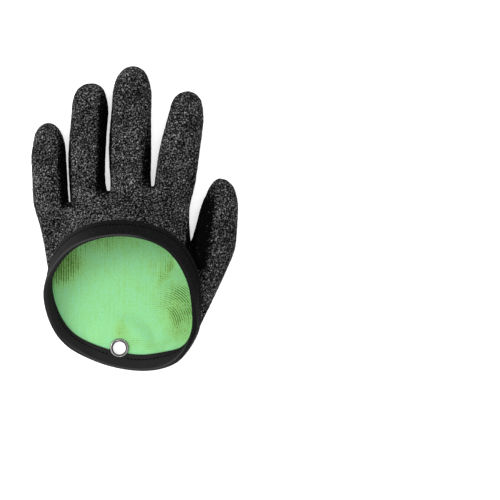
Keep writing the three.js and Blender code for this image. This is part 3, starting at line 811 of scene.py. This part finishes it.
# How the liner lies, on the glove in mm: x, y, x, y, width and depth of each soft crease, and spots with
# x, y, half width, half length and strength.
linerLie = {
    "creases": [(27.4, -30, 12, -52, 3, 0.3), (10.6, -27, 10.6, -45, 1.6, 0.12), (17.6, -29, 16.6, -46, 1.8, 0.16),
                (25, -26, 23, -38, 2, 0.14), (-8.3, -12, -8.3, -58, 0.9, 0.1), (-10.5, -70, -11, -84, 3, 0.2)],
    "ribSpots": [(-54, -32, 22, 24, 0.5), (-30, -16, 28, 16, 0.3), (14, -32, 18, 20, 0.22), (-10, -45, 60, 60, 0.12)],
    "rowSpots": [(28, -58, 24, 26, 0.36), (6, -88, 24, 8, 0.2), (20, -80, 26, 14, 0.1)],
    # painted shade: spots where the liner is drawn darker and more olive, where shadow falls inside the glove
    "shadeSpots": [(-54, -30, 24, 24, 0.3), (-20, -10, 50, 18, 0.15), (31, -68, 18, 28, 0.2), (24, -26, 12, 14, 0.06),
                   (-10, -80, 9, 9, 0.1)],
    "turnCentre": (16, -74),  # the rows turn round this point beside the thumb
    "turnFade": (24, 0.85),  # mm over which the rows below it turn upright, and how far
    "turnCalm": (7, 14),  # mm from it where the rows start to show
    "creaseStart": (-0.15, 0.2),  # as shares of a crease's length
    "creaseEnd": (0.7, 1.15),
    # painted shade along the creases, for each mm of their depth
    "creaseShade": 0.5,
    "palmFacing": (0, -0.6),  # the creases are on the palm only
    "spotCore": 0.3,
    "sideLean": 0.7,  # how much the columns spread on the hand's sides
}


def spots(points, rows):
    total = np.zeros(len(points))
    for x, y, halfWidth, halfLength, strength in rows:
        reach = np.hypot((points[:, 0] - x) / halfWidth, (points[:, 1] - y) / halfLength)
        total = np.maximum(total, strength * (1 - smoothStep(reach, linerLie["spotCore"], 1)))
    return total


# How far the soft creases press the liner, in mm.
def creaseDepth(points):
    depth = np.zeros(len(points))
    for x0, y0, x1, y1, width, deep in linerLie["creases"]:
        start, way = np.array([x0, y0]), np.array([x1 - x0, y1 - y0])
        length = np.linalg.norm(way)
        way = way / length
        along = (points[:, :2] - start) @ way / length
        across = (points[:, :2] - start) @ np.array([-way[1], way[0]])
        ends = smoothStep(along, *linerLie["creaseStart"]) * (1 - smoothStep(along, *linerLie["creaseEnd"]))
        depth += deep * ends * np.exp(-(across / width) ** 2)
    return depth


# Columns run along the hand, and rows across it, turning round the root of the thumb.
def knitPlace(points):
    centre, (fadeOver, fadeShare) = linerLie["turnCentre"], linerLie["turnFade"]
    side = np.maximum(points[:, 0] - centre[0], 0)
    up = points[:, 1] - centre[1]
    upright = 1 - fadeShare * smoothStep(side, 0, fadeOver)
    rows = np.where(up > 0, np.hypot(side, up), side + up * upright)
    return np.stack([points[:, 0] + linerLie["sideLean"] * points[:, 2], rows], 1)


innerSkin = fine["points"] - fine["ways"] * cloth["wall"]
onPalm = smoothStep(fine["ways"][:, 2], *linerLie["palmFacing"])
linerDepth = cloth["wall"] + creaseDepth(innerSkin) * onPalm
knitLiner, linerPoints = wallPiece("knitLiner", hidden, fine, cloth["coat"] + cloth["gap"], linerDepth, knitPlace)
fromTurn = np.hypot(*(linerPoints[:, :2] - linerLie["turnCentre"]).T)
rowShow = spots(linerPoints, linerLie["rowSpots"]) * smoothStep(fromTurn, *linerLie["turnCalm"])
# the shade spots and the creases add painted shade
addShow(knitLiner, ribShow=spots(linerPoints, linerLie["ribSpots"]), rowShow=rowShow,
        shadeShow=spots(linerPoints, linerLie["shadeSpots"]) + linerLie["creaseShade"] * creaseDepth(linerPoints))
cutRound(knitLiner, eyelet["bore"], eyelet["wallCut"])
knitLiner.data.materials.append(greenKnit())
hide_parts("knit_liner")
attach(knitLiner, "root")
print("knit liner:", len(knitLiner.data.polygons), "faces")

# Folded tape. Each row is a share of the leg from its edge to the fold, and a height over the wall in mm. The legs
# draw together at the fold, the inner one more.
legSection = [
    (0.0, 0.3), (0.0, 0.75), (0.012, 1.02), (0.035, 1.14), (0.1, 1.2), (0.22, 1.2), (0.31, 1.14), (0.352, 1.05),
    (0.377, 0.98), (0.402, 1.05), (0.445, 1.16), (0.55, 1.26),
]
outerSection = legSection + [(0.7, 1.28), (0.82, 1.22), (0.9, 1.14), (0.96, 1.05), (1.0, 0.96)]
innerSection = legSection + [(0.7, 1.22), (0.82, 1.02), (0.9, 0.82), (0.96, 0.62), (1.0, 0.48)]
tapeLie = {
    "foldSteps": 10,
    "foldBulge": 1.35,  # mm past the wall's edge
    "foldPower": 0.8,  # below 1, the fold is squarer than a half circle
    "ripple": (0.12, 9, 5),  # height and size in mm, and seed
    "hidden": 0.25,  # mm that its unseen inside lies past the wall's faces
    "groove": 8,  # the row of legSection that the stitches lie in
    # how dark the painted shade in the groove is
    "grooveShow": 0.25,
    "fadeLean": 1.2,  # painted light: it is drawn lighter toward the heel and the little finger
    "fade": (-80, -30),
    "heelRub": (-95, -80),  # mm along the hand where the painted highlight on the fold's lower shoulder stops
    "thumbSide": (-5, 12, -88, -78),  # where the fold's painted highlight is dimmed: mm across, then along
    "thumbCalm": 0.9,
}
stitches = {
    "share": 0.377, "pitch": 2.6, "length": 1.8, "thread": 0.36, "height": 1.02,
    "sides": 6, "rings": 7, "dive": 0.35, "taper": 0.4,
    "eyeletClear": 9,  # mm from the eyelet's axis, under the washer
}

grid = lattice(fine, cloth["fineness"], cloth["bandRow"])
legRows = grid.shape[1] - 1


# Values on the band at a share of the way from the leg's edge to the rim, for every station.
def onLeg(values, share):
    at = share * legRows
    low = min(int(at), legRows - 1)
    return values[grid[:, low]] * (1 - (at - low)) + values[grid[:, low + 1]] * (at - low)


def tapePoint(share, height, past=0.0):
    beyond = unit(fine["points"][grid[:, -1]] - fine["points"][grid[:, -3]])
    ways = unit(onLeg(fine["ways"], share))
    return onLeg(fine["points"], share) + ways * np.reshape(height, (-1, 1)) + beyond * past


# Faces between loops of points that follow each other; closed, the last loop joins the first.
def loopFaces(loops, size, closed, first=0):
    faces = []
    for i in range(loops if closed else loops - 1):
        a, b = first + i * size, first + (i + 1) % loops * size
        faces += [[a + k, a + (k + 1) % size, b + (k + 1) % size, b + k] for k in range(size)]
    return faces


def foldedTape():
    steps, groove, inner = tapeLie["foldSteps"], tapeLie["groove"], tapeLie["hidden"]
    deep, size, seed = tapeLie["ripple"]
    top, bottom = outerSection[-1][1], -cloth["wall"] - innerSection[-1][1]
    ripple = deep * noiseAt(onLeg(fine["points"], 0.5), size, seed)
    loops = [tapePoint(share, height + ripple * (share > 0)) for share, height in outerSection]
    for i in range(1, steps):
        turn = pi * i / steps
        height = (top + bottom) / 2 + (top - bottom) / 2 * cos(turn)
        past = tapeLie["foldBulge"] * sin(turn) ** tapeLie["foldPower"]
        loops.append(tapePoint(1.0, height + ripple * (1 - i / steps), past))
    for share, height in reversed(innerSection):
        loops.append(tapePoint(share, -cloth["wall"] - height - ripple * (share > 0)))
    for share, height in ((0.5, -cloth["wall"] - inner), (1.0, -cloth["wall"] - inner), (1.0, inner), (0.5, inner)):
        loops.append(tapePoint(share, height, inner * (share == 1.0)))
    points = np.stack(loops, 1)
    stations, size = points.shape[:2]
    along = distances(np.linalg.norm(np.roll(points[:, groove], -1, 0) - points[:, groove], axis=1))
    across = distances(np.linalg.norm(np.diff(points, axis=1), axis=2).mean(0))
    across = np.append(across, across[-1] + 1)
    uv = [(along[i + a], across[k + b]) for i in range(stations) for k in range(size)
          for a, b in ((0, 0), (0, 1), (1, 1), (1, 0))]
    piece = addMesh("foldedTape", points.reshape(-1, 3), loopFaces(stations, size, True), np.array(uv) * mm)
    legs = len(outerSection)
    worn = np.zeros(size)
    worn[legs - 1:legs + 2] = 1  # painted highlight on the fold's upper shoulder
    worn[legs + steps - 3:legs + steps] = 1  # and its lower one
    # painted shade along the stitch groove of each leg
    seam = np.zeros(size)
    for middle in (groove, 2 * legs + steps - 2 - groove):
        seam[middle - 1:middle + 2] = tapeLie["grooveShow"]
    # painted light, lighter toward the heel and the little finger
    faded = 1 - smoothStep(points[..., 1] + tapeLie["fadeLean"] * points[..., 0], *tapeLie["fade"])
    worn = np.tile(worn, (stations, 1))
    lower = legs + steps - 4
    worn[:, lower:] *= 1 - smoothStep(points[:, lower:, 1], *tapeLie["heelRub"])
    side = tapeLie["thumbSide"]
    worn *= 1 - tapeLie["thumbCalm"] * smoothStep(points[..., 0], *side[:2]) * smoothStep(points[..., 1], *side[2:])
    addShow(piece, wornShow=worn.ravel(), seamShow=np.tile(seam, stations), fadedShow=faded.ravel())
    return piece


tape = foldedTape()
for ring in ("flange", "washer"):
    cutRound(tape, eyelet["bore"] + eyelet[ring + "Width"], eyelet[ring + "Cut"])
tape.data.materials.append(bindingTape())
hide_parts("mouth_binding")
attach(tape, "root")
print("folded tape:", len(tape.data.polygons), "faces")


# A row of stitches round the tape, each a short thread whose ends dive into it.
def threadStitches(name, height):
    line = tapePoint(stitches["share"], height)
    ways = unit(onLeg(fine["ways"], stitches["share"])) * (1 if height > 0 else -1)
    steps = np.linalg.norm(np.roll(line, -1, 0) - line, axis=1)
    distance = distances(steps)
    count = round(distance[-1] / stitches["pitch"])
    closed, closedWays = [np.concatenate([values, values[:1]]) for values in (line, ways)]
    sides, rings = stitches["sides"], stitches["rings"]

    def sample(at, values):
        return np.array([np.interp(at % distance[-1], distance, values[:, i]) for i in range(3)])

    points, faces = [], []
    for s in range(count):
        middle = (s + 0.5) * distance[-1] / count
        if height < 0 and fromEyelet(sample(middle, closed)) < stitches["eyeletClear"]:
            continue
        first = len(points)
        for r in range(rings):
            part = r / (rings - 1) * 2 - 1
            at = middle + part * stitches["length"] / 2
            centre, up = sample(at, closed), unit(sample(at, closedWays))
            way = unit(sample(at + 0.1, closed) - sample(at - 0.1, closed))
            aside = np.cross(way, up)
            dive = stitches["dive"] * part ** 4
            radius = stitches["thread"] * (1 - stitches["taper"] * part ** 4)
            for k in range(sides):
                angle = 2 * pi * k / sides
                points.append(centre + up * (radius * sin(angle) - dive) + aside * radius * cos(angle))
        faces += loopFaces(rings, sides, False, first)
        faces.append([first + k for k in range(sides)][::-1])
        faces.append([first + (rings - 1) * sides + k for k in range(sides)])
    piece = addMesh(name, points, faces)
    piece.data.materials.append(sewingThread())
    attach(piece, "root")
    print(name + ":", len(faces), "faces")


threadStitches("outerStitches", stitches["height"])
threadStitches("innerStitches", -cloth["wall"] - stitches["height"])


# A ring turned from a profile of (radius, height) round the eyelet's axis.
def turned(name, profile, node, material):
    sides = eyelet["sides"]
    angles = [2 * pi * s / sides for s in range(sides)]
    points = [(eyelet["across"] + radius * cos(a), eyelet["along"] + radius * sin(a), height)
              for a in angles for radius, height in profile]
    faces = [[a, d, c, b] for a, b, c, d in loopFaces(sides, len(profile), True)]
    piece = addMesh(name, points, faces)
    piece.data.materials.append(material)
    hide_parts(node)
    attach(piece, "root")
    print(name + ":", len(faces), "faces")


def arc(centre, radii, start, end, steps):
    angles = [radians(start + (end - start) * i / steps) for i in range(steps + 1)]
    return [(centre[0] + radii[0] * cos(a), centre[1] + radii[1] * sin(a)) for a in angles]


bore = eyelet["bore"]
barrel = bore + eyelet["barrelWall"]
flangeLow = eyelet["seatHeight"] + cloth["wall"] + cloth["gap"]
washerHigh = eyelet["seatHeight"] - cloth["gap"]
washerLow = washerHigh - eyelet["washerThickness"]
crest = eyelet["crest"] * eyelet["flangeWidth"]
edge = eyelet["edge"]
rollWide, rollHigh, rollDrop = eyelet["roll"]
lipOut, lipWide, lipHigh, lipDrop = eyelet["lip"]
flangeProfile = (
    [(barrel, flangeLow)]
    + arc((bore + eyelet["flangeWidth"] - edge, flangeLow + edge), (edge, edge), -90, 0, 4)
    + arc((bore + crest, flangeLow + edge), (eyelet["flangeWidth"] - crest, eyelet["flangeHeight"] - edge), 8, 90, 12)
    + arc((bore + crest, flangeLow - edge), (crest, eyelet["flangeHeight"] + edge), 98, 180, 12)
    + [(bore, washerLow)]
    + arc((bore + rollWide, washerLow - rollDrop), (rollWide, rollHigh), 180, 300, 8)
    + arc((barrel + lipOut, washerLow - lipDrop), (lipWide, lipHigh), -90, 90, 6)
    + [(barrel, washerLow - lipHigh)]
)
turned("eyeletRing", flangeProfile, "eyelet", nickelPlate("nickelPlate", 0.16))
edge, holeEdge = eyelet["washerRound"]
hole, rim = barrel + edge, bore + eyelet["washerWidth"]
washerProfile = [
    (hole, washerLow + holeEdge), (hole + edge, washerLow), (rim - edge, washerLow), (rim, washerLow + edge),
    (rim, washerHigh - edge), (rim - edge, washerHigh), (hole + edge, washerHigh), (hole, washerHigh - holeEdge),
]
turned("backWasher", washerProfile, "eyelet_washer", nickelPlate("stampedWasher", 0.3))


studio = {
    "pixel": 0.70,  # mm of the glove for a pixel of the photograph's frame
    "frame": 500,
    "gloveAt": (134.72, 218.51),  # the frame's pixel over the glove's origin
    "table": "#e6e6e6",
    "tableSize": 12,  # m
    "tableGlow": 0.6,
    # The light tent: plain, and brighter on the side that the light comes from.
    "roomLight": 0.86,
    "brightSide": (-0.72, 0.0, 0.5),
    "brightFrom": 0.5,
    "brightLight": 2.3,
    "underLight": 1.0,
    "horizon": -0.02,  # where the light from under the table starts
    "cameraHeight": 1.2,  # m
    # name, place, size in m and power in W
    "lamps": [("keyLamp", (-0.9, 0.3, 0.7), 0.4, 5), ("heelLamp", (0.08, -0.6, 0.9), 0.25, 1.6),
              ("tipLamp", (0.5, 0.7, 0.9), 0.12, 0.8)],
}
centre = [(studio["frame"] / 2 - studio["gloveAt"][0]) * studio["pixel"],
          (studio["gloveAt"][1] - studio["frame"] / 2) * studio["pixel"]]

bpy.ops.mesh.primitive_plane_add(size=studio["tableSize"], location=(0, 0, 0))
table = bpy.context.object
table.name = "table"
# Opal acrylic over a lit box, as product tables have: white and matt, and shadows on it stay pale.
material, tree, shader = startMaterial(
    "opalAcrylic", Roughness=0.6, Base_Color=linear(studio["table"]), Emission_Color=(1, 1, 1, 1),
    Emission_Strength=studio["tableGlow"])
table.data.materials.append(material)

world = bpy.data.worlds.new("studio")
bpy.context.scene.world = world
world.use_nodes = True
tree = world.node_tree
way = addNode(tree, "TexCoord").outputs["Generated"]
facing = addNode(tree, "VectorMath", {"operation": "DOT_PRODUCT"}, (way, Vector(studio["brightSide"]).normalized()))
glow = addNode(tree, "MapRange", smooth, (
    facing.outputs["Value"], studio["brightFrom"], 1, studio["roomLight"], studio["brightLight"]))
height = addNode(tree, "SeparateXYZ", {}, (way,))
under = addNode(tree, "MapRange", {}, (height.outputs["Z"], studio["horizon"], 0, studio["underLight"], 0))
strength = addNode(tree, "Math", {"operation": "MAXIMUM"}, (glow, under))
setInputs(tree, tree.nodes["Background"], {"Color": (1, 1, 1, 1), "Strength": strength})


for name, place, size, power in studio["lamps"]:
    lamp = bpy.data.lights.new(name, "AREA")
    lamp.shape, lamp.size, lamp.energy = "DISK", size, power
    holder = addObject(name, lamp)
    holder.location = place
    holder.rotation_euler = (-Vector(place)).to_track_quat("-Z", "Y").to_euler()

camera = addObject("camera", bpy.data.cameras.new("camera"))
camera.location = (centre[0] * mm, centre[1] * mm, studio["cameraHeight"])
camera.data.type = "ORTHO"
camera.data.ortho_scale = studio["frame"] * studio["pixel"] * mm
bpy.context.scene.camera = camera
bpy.context.scene.view_settings.view_transform = "Standard"
print("studio set")
